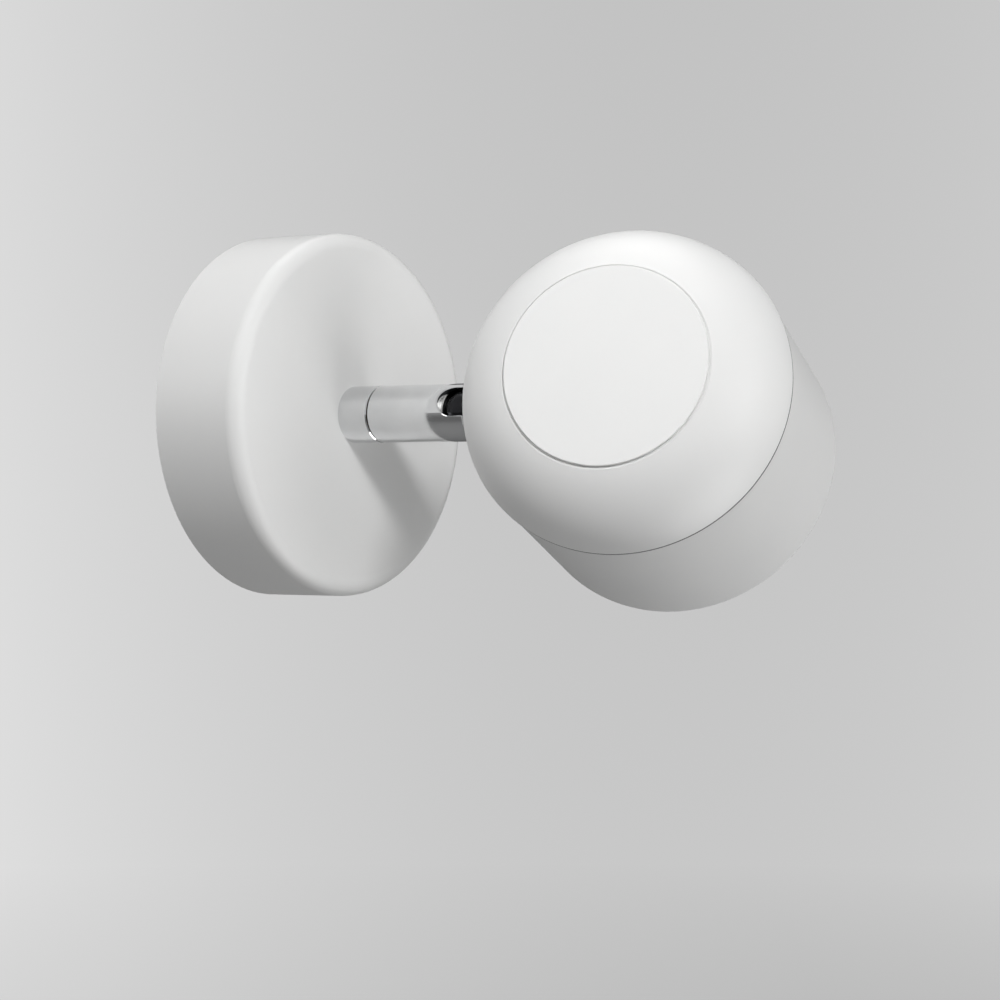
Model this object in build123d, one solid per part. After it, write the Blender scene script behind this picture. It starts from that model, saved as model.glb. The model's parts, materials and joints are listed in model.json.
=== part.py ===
from build123d import *
import os
from math import cos, degrees, asin, radians, sin, sqrt

# A wall spotlight: a round canopy, a short arm that swivels in it, and a lamp head on a ball stud
# that tilts in the arm's slotted end. Millimetres, +Z up. The wall is the plane Y = 0, the light
# stands out towards -Y, and the origin is the centre of the canopy's back.

# Canopy and wall bracket
canopy_radius = 50.0
canopy_depth = 28.5
canopy_rounding = 4.0
canopy_wall = 1.2
bracket_thickness = 1.5
bracket_radius = 34.0
grommet_hole_radius = 7.0
ear_face = 47.4
ear_width = 14.0
ear_height = 14.0
ear_foot_start = 40.0
rivet_place = 42.7
rivet_radius = 1.5
side_screw_depth = 9.0
wall_hole_spacing = 60.0
wall_slot_width = 4.5
wall_slot_length = 12.0
cable_radius = 3.5
terminal_centre = 22.0
terminal_pitch = 9.5
terminal_length = 17.0
terminal_tunnel = 4.2
terminal_screw_offset = 5.2
lead_radius = 0.95
earth_place = -22.0

# Arm: a fixed collar, then the tube that turns on the hollow nipple
arm_radius = 7.8
tube_bore = 6.3
collar_front = 38.1
tube_back = 38.5
tube_front = 70.9
nipple_back = 20.0
nipple_nut_back = 23.2
nipple_washer_back = 26.3
nipple_radius = 4.93
wire_bore = 3.2
flange_radius = 6.15
flange_front = 39.4
bush_back = 40.6
bush_front = 46.0
lug_angle = 16.0

# Ball joint in the tube's slotted end
slot_width = 8.6
slot_length = 8.9
slot_chamfer = 0.3
ball_inset = 4.0
ball_radius = 6.2
seat_gap = 0.1
mouth_radius = 5.2
mouth_flare = 5.9
cup_back = 57.6
cup_front = 63.0
plug_back = 52.6
plug_front = 55.0
neck_radius = 3.0
neck_bore = 1.9
shoulder_back = 8.6
shoulder_front = 9.8
shoulder_radius = 5.4
neck_end = 22.5
neck_pad_face = 16.6
spanner_width = 9.4

# Head, measured along its own axis from the seam between dome and barrel
neck_length = 55.7
neck_to_seam = 37.2
barrel_length = 54.6
barrel_radius = 42.6
barrel_front_radius = 42.4
barrel_wall = 2.2
seam_gap = 0.25
dome_edge_radius = 43.0
dome_curve = 24.6
dome_curve_offset = 18.8
dome_wall = 1.6
skirt_depth = 5.0
cap_radius = 26.35
cap_face = 19.5
cap_thickness = 0.9
cap_recess_radius = 26.75
cap_floor = 17.2
cap_stud_circle = 14.0
vent_circle = 20.5
vent_count = 12
strap_width = 16.0
strap_thickness = 1.2
strap_top = 12.0
strap_half_span = 32.5
strap_foot_top = -4.8
foot_reach = 37.5
lamp_radius = 25.0
lamp_front = -46.6
lamp_back = -4.3
lamp_fin_count = 24
lamp_fin_thickness = 1.1
pin_pitch = 10.0
bracket_screw_circle = 34.5
holder_screw_reach = 9.0

# How the light is set in the photograph
slot_bearing = 26.8
neck_lean = 17.2
head_turn = 7.8

out = Vector(0, -1, 0)
slot_side = Vector(-cos(radians(slot_bearing)), 0, sin(radians(slot_bearing)))
tilt_axis = out.cross(slot_side)
lean_cos = cos(radians(neck_lean))
lean_sin = sin(radians(neck_lean))
neck_line = out * lean_cos - slot_side * lean_sin
cross_line = slot_side * lean_cos + out * lean_sin
head_line = cross_line * cos(radians(head_turn)) + tilt_axis * sin(radians(head_turn))
ball_height = tube_front - ball_inset
ball_centre = out * ball_height
seam_centre = ball_centre + neck_line * neck_length + head_line * neck_to_seam
seat_radius = ball_radius + seat_gap

# How far the centre of the dome's curve lies below the seam
dome_drop = sqrt(dome_curve**2 - (dome_edge_radius - dome_curve_offset) ** 2)

# Each group of pieces is drawn standing up: along +Z out of the wall, out of the ball, or
# towards the head's cap.
wall_plane = Plane(origin=(0, 0, 0), x_dir=(1, 0, 0), z_dir=out)
arm_plane = Plane(origin=(0, 0, 0), x_dir=slot_side, z_dir=out)
stud_plane = Plane(origin=ball_centre, x_dir=cross_line, z_dir=neck_line)
head_plane = Plane(origin=seam_centre, x_dir=-neck_line, z_dir=head_line)
neck_in_head = Plane(
    origin=(neck_length, 0, -neck_to_seam),
    x_dir=(0, -sin(radians(head_turn)), cos(radians(head_turn))),
    z_dir=(-1, 0, 0),
)


def face_of(start, *steps):
    # A closed outline of (radius, height) points. A step of two points is an arc through the
    # first to the second.
    edges = []
    here = start
    for step in steps:
        if isinstance(step[0], tuple):
            through, end = step
            edges.append(ThreePointArc(here, through, end))
        else:
            end = step
            edges.append(Line(here, end))
        here = end
    edges.append(Line(here, start))
    return make_face(edges)


def turned(start, *steps, arc=360.0):
    # A piece turned about Z from its outline.
    return revolve(Plane.XZ * face_of(start, *steps), axis=Axis.Z, revolution_arc=arc)


def ring(inner, outer, low, high):
    return turned((inner, low), (outer, low), (outer, high), (inner, high))


def rod(radius, low, high):
    return Pos(0, 0, low) * extrude(Circle(radius), high - low)


def hexagon(across_flats, bore, low, high):
    outline = RegularPolygon(across_flats / 2, 6, major_radius=False) - Circle(bore)
    return Pos(0, 0, low) * extrude(outline, high - low)


def lug(inner, outer, low, high, bearing):
    # A short piece of ring: the stop of a swivel.
    block = turned((inner, low), (outer, low), (outer, high), (inner, high), arc=lug_angle)
    return Rot(0, 0, bearing - lug_angle / 2) * block


def at(radius, centre, angle):
    # The point of a circle at this angle.
    return (centre[0] + radius * cos(radians(angle)), centre[1] + radius * sin(radians(angle)))


def countersunk(shank, head, head_height, length, drive):
    # A countersunk screw with its head's face at Z = 0, pointing down -Z.
    body = turned(
        (0, 0), (head, 0), (head, -0.25), (shank, -head_height), (shank, -length), (0, -length)
    )
    slot = Pos(0, 0, -drive / 2) * Box(2 * head, 0.8, drive)
    return body - slot


def pan_screw(shank, head, head_height, length):
    # A pan-head screw with the head's seat at Z = 0, pointing down -Z, with a cross recess.
    edge = head_height * 0.4
    body = turned(
        (0, head_height),
        (head - edge, head_height),
        (at(edge, (head - edge, head_height - edge), 45), (head, head_height - edge)),
        (head, 0),
        (shank, 0),
        (shank, -length),
        (0, -length),
    )
    cross = Box(head * 1.1, head * 0.25, head_height) + Box(head * 0.25, head * 1.1, head_height)
    return body - Pos(0, 0, head_height) * cross


def group(pieces):
    return Compound(children=list(pieces))


def save(name, shape, plane):
    export_step(shape.moved(plane.location), f"parts/{name}.step")


# On the wall


def canopy():
    edge = (canopy_radius - canopy_rounding, canopy_depth - canopy_rounding)
    inner = canopy_rounding - canopy_wall
    bore = nipple_radius + 0.15
    shell = turned(
        (canopy_radius, 0),
        (canopy_radius, edge[1]),
        (at(canopy_rounding, edge, 45), (edge[0], canopy_depth)),
        (bore, canopy_depth),
        (bore, canopy_depth - canopy_wall),
        (edge[0], canopy_depth - canopy_wall),
        (at(inner, edge, 45), (canopy_radius - canopy_wall, edge[1])),
        (canopy_radius - canopy_wall, 0),
    )
    sink = turned((0, 0), (2.9, 0), (2.9, -0.3), (1.6, -1.6), (1.6, -4), (0, -4))
    for turn in (0, 180):
        spot = Rot(0, 0, turn) * Pos(0, canopy_radius, side_screw_depth) * Rot(-90, 0, 0)
        shell -= spot * sink
    return shell


def canopy_screws():
    screw = countersunk(1.45, 2.75, 1.5, 6.0, 0.8)
    stand = Pos(0, canopy_radius - 0.15, side_screw_depth) * Rot(-90, 0, 0)
    return group(Rot(0, 0, turn) * stand * screw for turn in (0, 180))


def wall_bracket():
    # A flat disc with a strap across it, which carries the ears at its ends.
    reach = ear_face - bracket_thickness
    strap = extrude(Rectangle(ear_width, 2 * reach), bracket_thickness)
    body = fillet(strap.edges().filter_by(Axis.Z), 1.5) + rod(bracket_radius, 0, bracket_thickness)
    wall_slot = Rot(0, 0, 90) * SlotOverall(wall_slot_length, wall_slot_width)
    cut = rod(grommet_hole_radius, -3, 3)
    for side in (-1, 1):
        cut += extrude(Pos(0, side * wall_hole_spacing / 2) * wall_slot, 3, both=True)
        cut += Pos(0, side * rivet_place, 0) * rod(rivet_radius + 0.03, -3, 3)
    cut += Pos(earth_place, 0, 0) * rod(2.05, -3, 3)
    for place in block_screw_places():
        cut += Pos(*place, 0) * rod(1.3, -3, 3)
    return body - cut


def bracket_ears():
    # Two angles riveted to the strap's ends. The canopy's screws go into them.
    thickness = bracket_thickness
    low = bracket_thickness + 0.02
    bend = 2.2
    centre = (ear_face - bend, low + bend)
    angle = face_of(
        (ear_foot_start, low),
        (centre[0], low),
        (at(bend, centre, 315), (ear_face, centre[1])),
        (ear_face, ear_height),
        (ear_face - thickness, ear_height),
        (ear_face - thickness, centre[1]),
        (at(bend - thickness, centre, 315), (centre[0], low + thickness)),
        (ear_foot_start, low + thickness),
    )
    ear = extrude(Plane.YZ * angle, ear_width / 2, both=True)
    ear = fillet(ear.edges().filter_by(Axis.Y).group_by(Axis.Z)[-1], 3.0)
    ear = fillet(ear.edges().filter_by(Axis.Z).group_by(Axis.Y)[0], 1.5)
    ear -= Pos(0, rivet_place, 0) * rod(rivet_radius + 0.03, 0, 5)
    ear -= Pos(0, ear_face, side_screw_depth) * Rot(90, 0, 0) * rod(1.5, -5, 5)
    return group(Rot(0, 0, turn) * ear for turn in (0, 180))


def bracket_rivets():
    foot_top = 2 * bracket_thickness + 0.04
    head_radius = 2.5
    head_height = 1.1
    dome = (head_radius**2 + head_height**2) / (2 * head_height)
    centre = (0, foot_top + head_height - dome)
    edge_angle = degrees(asin((foot_top - centre[1]) / dome))
    rivet = turned(
        (0, 0.05),
        (rivet_radius, 0.05),
        (rivet_radius, foot_top),
        (head_radius, foot_top),
        (at(dome, centre, (90 + edge_angle) / 2), at(dome, centre, 90)),
    )
    return group(Pos(0, side * rivet_place, 0) * rivet for side in (-1, 1))


def cable_grommet():
    # A rubber ring that sits over the rim of the bracket's centre hole.
    plug = grommet_hole_radius - 0.05
    rim = 8.6
    top = 3.1
    rounding = 0.8
    return turned(
        (cable_radius, 0),
        (plug, 0),
        (plug, bracket_thickness + 0.02),
        (rim, bracket_thickness + 0.02),
        (rim, top - rounding),
        (at(rounding, (rim - rounding, top - rounding), 45), (rim - rounding, top)),
        (cable_radius + 0.6, top),
        (cable_radius, top - 0.6),
    )


def block_screw_places():
    return [(terminal_centre, side * terminal_pitch / 2) for side in (-1, 1)]


def terminal_block():
    # Three poles, each a rounded tunnel with two screw towers, on a thin web.
    floor = bracket_thickness
    middle = floor + terminal_tunnel
    pole = extrude(Plane.YZ * Pos(0, middle) * Circle(3.6), terminal_length / 2, both=True)
    tunnel = extrude(Plane.YZ * Pos(0, middle) * Circle(2.2), terminal_length, both=True)
    body = Pos(0, 0, floor + 1.2) * Box(12.0, 2 * terminal_pitch + 4, 2.4)
    for row in (-1, 0, 1):
        body += Pos(0, row * terminal_pitch, 0) * pole
        for end in (-1, 1):
            tower = rod(2.9, middle, floor + 12)
            body += Pos(end * terminal_screw_offset, row * terminal_pitch, 0) * tower
    body &= Pos(0, 0, floor + 10) * Box(40, 40, 20)
    for row in (-1, 0, 1):
        body -= Pos(0, row * terminal_pitch, 0) * tunnel
        for end in (-1, 1):
            shaft = rod(1.9, middle, floor + 13)
            body -= Pos(end * terminal_screw_offset, row * terminal_pitch, 0) * shaft
    for side in (-1, 1):
        hole = rod(1.35, 0, 12) + rod(2.0, floor + 2.4, 12)
        body -= Pos(0, side * terminal_pitch / 2, 0) * hole
    return Pos(terminal_centre, 0, 0) * body


def terminal_tubes():
    middle = bracket_thickness + terminal_tunnel
    wall = Circle(2.15) - Circle(1.5)
    tube = extrude(Plane.YZ * Pos(0, middle) * wall, 7.4, both=True)
    for end in (-1, 1):
        tube -= Pos(end * terminal_screw_offset, 0, 0) * rod(1.3, middle, middle + 4)
    return group(Pos(terminal_centre, row * terminal_pitch, 0) * tube for row in (-1, 0, 1))


def terminal_screws():
    floor = bracket_thickness
    screw = rod(1.25, floor + 4.0, floor + 8.0) + rod(1.8, floor + 8.0, floor + 10.5)
    screw -= Pos(0, 0, floor + 10.5) * Box(4, 0.6, 1.4)
    return group(
        Pos(terminal_centre + end * terminal_screw_offset, row * terminal_pitch, 0) * screw
        for end in (-1, 1)
        for row in (-1, 0, 1)
    )


def block_screws():
    screw = Pos(0, 0, bracket_thickness + 2.42) * pan_screw(1.25, 1.9, 1.4, 3.9)
    return group(Pos(*place, 0) * screw for place in block_screw_places())


def earth_tag():
    # A ring tag under the earth screw, with a crimped barrel for the wire.
    low = bracket_thickness + 0.02
    eye = Circle(4.2) + Pos(0, 4.5) * Rectangle(3.4, 6)
    flat = Pos(0, 0, low) * extrude(eye - Circle(2.1), 0.8)
    barrel = Plane.XZ * Pos(0, low + 1.7) * (Circle(1.7) - Circle(1.1))
    return Pos(earth_place, 0, 0) * (flat + Pos(0, 7.0, 0) * extrude(barrel, -6.0))


def earth_screw():
    return Pos(earth_place, 0, bracket_thickness + 0.84) * pan_screw(2.0, 3.8, 2.4, 2.3)


def earth_lead():
    # From the terminal block's middle pole round to the earth tag.
    middle = bracket_thickness + terminal_tunnel
    tail = terminal_centre - terminal_length / 2 - 0.1
    tag_middle = bracket_thickness + 0.02 + 1.7
    path = FilletPolyline(
        (tail, 0, middle),
        (tail - 6, 0.6, middle + 0.6),
        (-4.0, 14.0, 4.6),
        (-14.0, 21.5, 4.0),
        (earth_place, 21.8, tag_middle + 0.3),
        (earth_place, 13.1, tag_middle),
        radius=[5.0, 8.0, 4.0, 3.2],
    )
    return sweep(Plane(path @ 0, z_dir=path % 0) * Circle(lead_radius), path=path)


def arm_collar():
    return turned(
        (nipple_radius + 0.07, canopy_depth),
        (arm_radius, canopy_depth),
        (arm_radius, collar_front - 0.3),
        (arm_radius - 0.3, collar_front),
        (nipple_radius + 0.07, collar_front),
    )


def swivel_nipple():
    groove = nipple_radius - 0.45
    body = turned(
        (wire_bore, nipple_back),
        (nipple_radius - 0.5, nipple_back),
        (nipple_radius, nipple_back + 0.5),
        (nipple_radius, collar_front),
        (flange_radius, collar_front),
        (flange_radius, flange_front),
        (nipple_radius, flange_front),
        (nipple_radius, bush_front + 0.6),
        (groove, bush_front + 0.6),
        (groove, bush_front + 1.7),
        (nipple_radius, bush_front + 1.7),
        (nipple_radius, bush_front + 2.3),
        (nipple_radius - 0.3, bush_front + 2.6),
        (wire_bore + 0.4, bush_front + 2.6),
        (wire_bore, bush_front + 2.0),
    )
    return body + lug(nipple_radius - 0.3, flange_radius, flange_front, flange_front + 1.1, 180)


def nipple_washer():
    front = canopy_depth - canopy_wall - 0.02
    return ring(nipple_radius + 0.15, 9.0, nipple_washer_back, front)


def nipple_nut():
    low = nipple_nut_back
    high = nipple_washer_back - 0.02
    nut = hexagon(14.0, nipple_radius + 0.05, low, high)
    return nut & turned((0, low), (7.3, low), (8.1, low + 0.8), (8.1, high), (0, high))


def thrust_washer():
    return ring(nipple_radius + 0.12, flange_radius, bush_front + 0.08, bush_front + 0.55)


def retaining_ring():
    low = bush_front + 0.65
    high = bush_front + 1.65
    inner = nipple_radius - 0.42
    outline = [(inner, low), (flange_radius - 0.1, low), (flange_radius - 0.1, high), (inner, high)]
    return Rot(0, 0, 15) * turned(*outline, arc=330)


def base_leads():
    # Two insulated leads from the terminal block into the nipple's hollow.
    leads = []
    for side in (-1, 1):
        tail = terminal_centre - terminal_length / 2 - 0.1
        path = FilletPolyline(
            (tail, side * terminal_pitch, bracket_thickness + terminal_tunnel),
            (tail - 5.0, side * terminal_pitch * 0.85, bracket_thickness + 5.4),
            (3.2, side * 3.4, 12.5),
            (0.0, side * 1.3, 19.0),
            (0.0, side * 1.25, 26.0),
            radius=[3.0, 4.0, 6.0],
        )
        leads.append(sweep(Plane(path @ 0, z_dir=path % 0) * Circle(lead_radius), path=path))
    return group(leads)


# The arm tube and what is inside it


def arm_tube():
    # The seat that holds the ball is turned in the tube's own end, behind a lip.
    lip = ball_height + sqrt(seat_radius**2 - mouth_radius**2)
    half_way = degrees(asin((lip - ball_height) / seat_radius)) / 2
    body = turned(
        (tube_bore, tube_back),
        (arm_radius - 0.3, tube_back),
        (arm_radius, tube_back + 0.3),
        (arm_radius, tube_front - 0.3),
        (arm_radius - 0.3, tube_front),
        (mouth_flare, tube_front),
        (mouth_radius, lip),
        (at(seat_radius, (0, ball_height), half_way), (seat_radius, ball_height)),
    )
    end = tube_front - slot_length + slot_width / 2
    opening = Pos(0, end) * Circle(slot_width / 2)
    opening += Pos(0, end + 10) * Rectangle(slot_width, 20)
    body -= extrude(Plane.YZ * opening, 20)
    outer = [edge for edge in body.edges() if on_slot_rim(edge)]
    return chamfer(outer, slot_chamfer)


def on_slot_rim(edge):
    # An edge where the slot breaks the tube's outer face.
    middle = edge @ 0.5
    reach = sqrt(middle.X**2 + middle.Y**2)
    beside = abs(middle.Y) < slot_width / 2 + 0.1 and middle.X > 0
    return beside and abs(reach - arm_radius) < 0.01 and middle.Z < tube_front - 0.4


def tube_bush():
    inner = nipple_radius + 0.07
    body = ring(inner, tube_bore - 0.02, bush_back, bush_front)
    return body + lug(inner, tube_bore - 0.05, flange_front + 0.1, bush_back + 0.2, 0)


def cup_seat(radius):
    # Height of the seat's lower half at this radius.
    return ball_height - sqrt(seat_radius**2 - radius**2)


def friction_cup():
    bore = 2.6
    rim = sqrt(seat_radius**2 - (ball_height - cup_front) ** 2)
    middle = (bore + rim) / 2
    return turned(
        (bore, cup_back),
        (tube_bore - 0.05, cup_back),
        (tube_bore - 0.05, cup_front - 0.3),
        (tube_bore - 0.35, cup_front),
        (rim, cup_front),
        ((middle, cup_seat(middle)), (bore, cup_seat(bore))),
    )


def disc_springs():
    # Three coned washers, stacked rim to rim and hole to hole.
    thickness = 0.5
    cone = 0.3
    springs = []
    for place in range(3):
        low = plug_front + 0.1 + place * (thickness + cone + 0.02)
        inner_low = low + (cone if place % 2 == 0 else 0)
        outer_low = low + (0 if place % 2 == 0 else cone)
        springs.append(
            turned(
                (3.0, inner_low),
                (6.0, outer_low),
                (6.0, outer_low + thickness),
                (3.0, inner_low + thickness),
            )
        )
    return group(springs)


def spring_plug():
    body = ring(2.8, tube_bore - 0.05, plug_back, plug_front)
    return body - Pos(0, 0, plug_back) * Box(2 * tube_bore, 1.6, 2.0)


# The ball stud


def ball_stud():
    rear = sqrt(ball_radius**2 - 3.0**2)
    front = sqrt(ball_radius**2 - neck_radius**2)
    stud = turned(
        (neck_bore, -3.0),
        (3.0, -rear),
        ((ball_radius, 0), (neck_radius, front)),
        (neck_radius, shoulder_back - 0.4),
        (neck_radius + 0.4, shoulder_back),
        (shoulder_radius - 0.3, shoulder_back),
        (shoulder_radius, shoulder_back + 0.3),
        (shoulder_radius, shoulder_front),
        (neck_radius, shoulder_front),
        (neck_radius, neck_end - 0.4),
        (neck_radius - 0.4, neck_end),
        (neck_bore, neck_end),
    )
    thickness = shoulder_front - shoulder_back
    for side in (-1, 1):
        flat = Box(2 * shoulder_radius, 2.0, thickness + 0.02)
        stud -= Pos(0, side * (spanner_width / 2 + 1), shoulder_back + thickness / 2) * flat
    return stud + lug(3.6, shoulder_radius - 0.1, shoulder_front - 0.3, shoulder_front + 0.9, 0)


def neck_washer():
    return ring(neck_radius + 0.05, 6.0, neck_pad_face + 0.1, neck_pad_face + 1.1)


def neck_nut():
    low = neck_pad_face + 1.12
    high = low + 3.2
    nut = hexagon(10.0, neck_radius + 0.03, low, high)
    return nut & turned((0, low), (5.9, low), (5.9, high - 0.6), (5.2, high), (0, high))


# The head


def barrel_blank():
    # The barrel's outer form, filled.
    return turned(
        (0, -seam_gap),
        (barrel_radius, -seam_gap),
        (barrel_front_radius, -barrel_length),
        (0, -barrel_length),
    )


def head_barrel():
    inner = barrel_radius - barrel_wall
    front = -barrel_length
    body = turned(
        (inner, -seam_gap),
        (barrel_radius, -seam_gap),
        (barrel_front_radius, front + 0.8),
        (at(0.8, (barrel_front_radius - 0.8, front + 0.8), 315), (barrel_front_radius - 0.8, front)),
        (inner, front),
        (inner, front + 6.6),
        (inner - 1.2, front + 7.0),
        (inner - 1.2, front + 9.0),
        (inner, front + 10.2),
    )
    room = rod(inner + 0.5, front, 0)
    lug_block = Box(12, 9.4, 9) + Pos(3, 0, -4.5) * Box(6, 9.4, 12)
    for turn in (90, 270):
        body += (Rot(0, 0, turn) * Pos(36.5, 0, -10.5) * lug_block) & room
    pad = neck_in_head.location * rod(6.8, neck_pad_face - 2.4, neck_pad_face)
    body += pad
    body -= neck_in_head.location * rod(neck_radius + 0.08, 5, neck_pad_face + 5)
    for turn in (90, 270):
        body -= Rot(0, 0, turn) * Pos(bracket_screw_circle, 0, 0) * rod(1.55, -14, -3)
    return body


def neck_boss():
    low = shoulder_front + 0.15
    body = turned(
        (neck_radius + 0.08, low + 1.1),
        (shoulder_radius + 0.2, low + 1.1),
        (shoulder_radius + 0.2, low),
        (6.3, low),
        (at(0.6, (6.3, low + 0.6), 315), (6.9, low + 0.6)),
        (6.9, low + 5),
        (neck_radius + 0.08, low + 5),
    )
    body += lug(3.5, shoulder_radius + 0.4, low + 0.05, low + 1.3, 180)
    return (neck_in_head.location * body) - barrel_blank()


def dome_height(radius, curve):
    # Height of the dome's curve, or of a parallel one inside it, over the seam.
    return sqrt(curve**2 - (radius - dome_curve_offset) ** 2) - dome_drop


def rear_dome():
    inner = dome_curve - dome_wall
    lip = cap_recess_radius + 0.3
    under = cap_floor - dome_wall
    under_radius = dome_curve_offset + sqrt(inner**2 - (under + dome_drop) ** 2)
    skirt = dome_edge_radius - 4.1
    shell = turned(
        (dome_edge_radius - 0.2, 0),
        (dome_edge_radius, 0.2),
        ((36.0, dome_height(36.0, dome_curve)), (lip, dome_height(lip, dome_curve))),
        (cap_recess_radius, dome_height(lip, dome_curve)),
        (cap_recess_radius, cap_floor),
        (2.2, cap_floor),
        (2.2, under),
        (under_radius, under),
        ((36.0, dome_height(36.0, inner)), (skirt, dome_height(skirt, inner))),
        (skirt, -skirt_depth + 0.4),
        (skirt + 0.4, -skirt_depth),
        (skirt + 1.4, -skirt_depth),
        (skirt + 1.4, 0),
    )
    vent = extrude(SlotOverall(6.4, 2.2), 10, both=True)
    for place in PolarLocations(vent_circle, vent_count):
        shell -= place * Pos(0, 0, cap_floor) * vent
    for place in PolarLocations(cap_stud_circle, 3):
        shell -= place * rod(1.6, under - 1, cap_floor + 1)
    return shell


def vent_cap():
    # A disc on three studs. It stands in the dome's recess with a narrow gap all round for air.
    back = cap_face - cap_thickness
    disc = turned(
        (0, back),
        (cap_radius - 0.2, back),
        (cap_radius, back + 0.2),
        (cap_radius, cap_face - 0.3),
        (at(0.3, (cap_radius - 0.3, cap_face - 0.3), 45), (cap_radius - 0.3, cap_face)),
        (0, cap_face),
    )
    stud = rod(2.6, cap_floor + 0.02, back) + rod(1.45, 12.8, back)
    for place in PolarLocations(cap_stud_circle, 3):
        disc += place * stud
    return disc


def cap_nuts():
    nut = hexagon(5.5, 1.5, 13.3, cap_floor - dome_wall - 0.02)
    return group(place * nut for place in PolarLocations(cap_stud_circle, 3))


def dome_screw():
    return Pos(0, 0, cap_floor + 0.02) * pan_screw(1.95, 3.4, 1.2, 6.1)


def lamp_bracket():
    # A strap bent like a hat: feet on the barrel's lugs, crown under the dome.
    t = strap_thickness
    foot = strap_foot_top
    half = [
        (0, strap_top),
        (strap_half_span - 1.8, strap_top),
        (strap_half_span, strap_top - 1.8),
        (strap_half_span, foot),
        (foot_reach, foot),
        (foot_reach, foot - t),
        (strap_half_span - t, foot - t),
        (strap_half_span - t, strap_top - t - 0.6),
        (strap_half_span - t - 0.6, strap_top - t),
        (0, strap_top - t),
    ]
    side = extrude(Plane.YZ * face_of(*half), strap_width / 2, both=True)
    strap = side + side.mirror(Plane.XZ)
    strap -= rod(2.0, strap_top - 3, strap_top + 3)
    strap += ring(2.0, 4.0, strap_top, strap_top + 1.4)
    for side_sign in (-1, 1):
        strap -= Pos(0, side_sign * holder_screw_reach, 0) * rod(1.6, strap_top - 3, strap_top + 3)
        strap -= Pos(0, side_sign * bracket_screw_circle, 0) * rod(1.6, foot - 3, foot + 3)
    return strap


def bracket_screws():
    screw = Pos(0, 0, strap_foot_top + 0.02) * pan_screw(1.5, 1.9, 1.6, 7.5)
    return group(Pos(0, side * bracket_screw_circle, 0) * screw for side in (-1, 1))


def lamp_holder():
    # Ceramic block with two keyhole sockets, 10 mm apart.
    top = strap_top - strap_thickness - 0.02
    outline = Rot(0, 0, 90) * SlotOverall(29.0, 17.0)
    block = Pos(0, 0, lamp_back + 0.2) * extrude(outline, top - lamp_back - 0.2)
    block -= Pos(0, 0, lamp_back) * extrude(Circle(6.0), 0.9)
    for side in (-1, 1):
        block -= Pos(side * pin_pitch / 2, 0, 0) * rod(2.8, lamp_back, 5.0)
        block -= Pos(0, side * holder_screw_reach, 0) * rod(1.6, top - 8.0, top + 1)
        block -= Pos(0, side * 4.0, 7.5) * Rot(0, 90, 0) * rod(1.2, 4, 20)
    return block


def holder_screws():
    screw = Pos(0, 0, strap_top + 0.02) * pan_screw(1.5, 2.8, 1.8, 7.0)
    return group(Pos(0, side * holder_screw_reach, 0) * screw for side in (-1, 1))


def lamp_form(waist):
    # The lamp's outline, drawn in by this much between its base and its rim.
    return turned(
        (0, lamp_back),
        (8.5, lamp_back),
        (9.5, lamp_back - 1.0),
        (9.5, lamp_back - 6.0),
        (13.0 - waist / 2, lamp_back - 9.0),
        (14.5 - waist, lamp_back - 14.0),
        ((18.0 - waist, lamp_back - 26.0), (24.6 - waist, lamp_back - 35.0)),
        (24.6, lamp_back - 36.0),
        (lamp_radius, lamp_back - 36.5),
        (lamp_radius, lamp_front + 0.5),
        (lamp_radius - 0.5, lamp_front),
        (lamp_radius - 2.2, lamp_front),
        (lamp_radius - 2.2, lamp_front + 1.8),
        (0, lamp_front + 1.8),
    )


def lamp_body():
    # A reflector lamp's housing: a core with cooling fins round it.
    fin_length = 29.0
    blade = Pos(lamp_radius / 2 + 4, 0, lamp_back - 7 - fin_length / 2) * Box(
        lamp_radius - 8, lamp_fin_thickness, fin_length
    )
    fins = [place * blade for place in PolarLocations(0, lamp_fin_count)]
    return lamp_form(2.0) + (lamp_form(0) & fins)


def lamp_lens():
    rim = lamp_radius - 2.3
    back = lamp_front + 1.75
    curve = 300.0
    centre = (0, back - 1.8 + curve)
    spread = degrees(asin(rim / curve))
    return turned(
        (0, back),
        (rim, back),
        at(curve, centre, spread - 90),
        (at(curve, centre, spread / 2 - 90), at(curve, centre, -90)),
    )


def lamp_pins():
    pin = rod(1.2, lamp_back + 0.02, 1.5) + rod(2.4, 1.0, 3.0)
    return group(Pos(side * pin_pitch / 2, 0, 0) * pin for side in (-1, 1))


def front_baffle():
    # A cone from the lamp's rim out to the barrel's mouth, with a skirt inside the barrel.
    front = -barrel_length + 0.6
    rim = barrel_radius - barrel_wall - 0.1
    ledge = -barrel_length + 6.7
    hole = lamp_radius + 0.7
    return turned(
        (hole, lamp_front + 0.2),
        (hole, lamp_front - 0.8),
        (rim - 1.6, front),
        (rim, front),
        (rim, ledge - 0.15),
        (rim - 0.9, ledge - 0.15),
        (rim - 0.9, front + 1.4),
        (rim - 2.6, front + 1.1),
    )


def head_leads():
    # Two insulated leads from the lamp holder into the hollow neck.
    leads = []
    for side in (-1, 1):
        path = FilletPolyline(
            (8.6, side * 4.0, 7.5),
            (18.0, side * 4.0, 6.5),
            (27.5, side * 3.0, -4.0),
            (29.5, side * 1.8, -26.0),
            (30.0, side * 0.95, -37.0),
            (neck_length - neck_end + 4.0, side * 0.9, -neck_to_seam),
            radius=[5.0, 8.0, 20.0, 2.2],
        )
        leads.append(sweep(Plane(path @ 0, z_dir=path % 0) * Circle(0.8), path=path))
    return group(leads)


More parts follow.
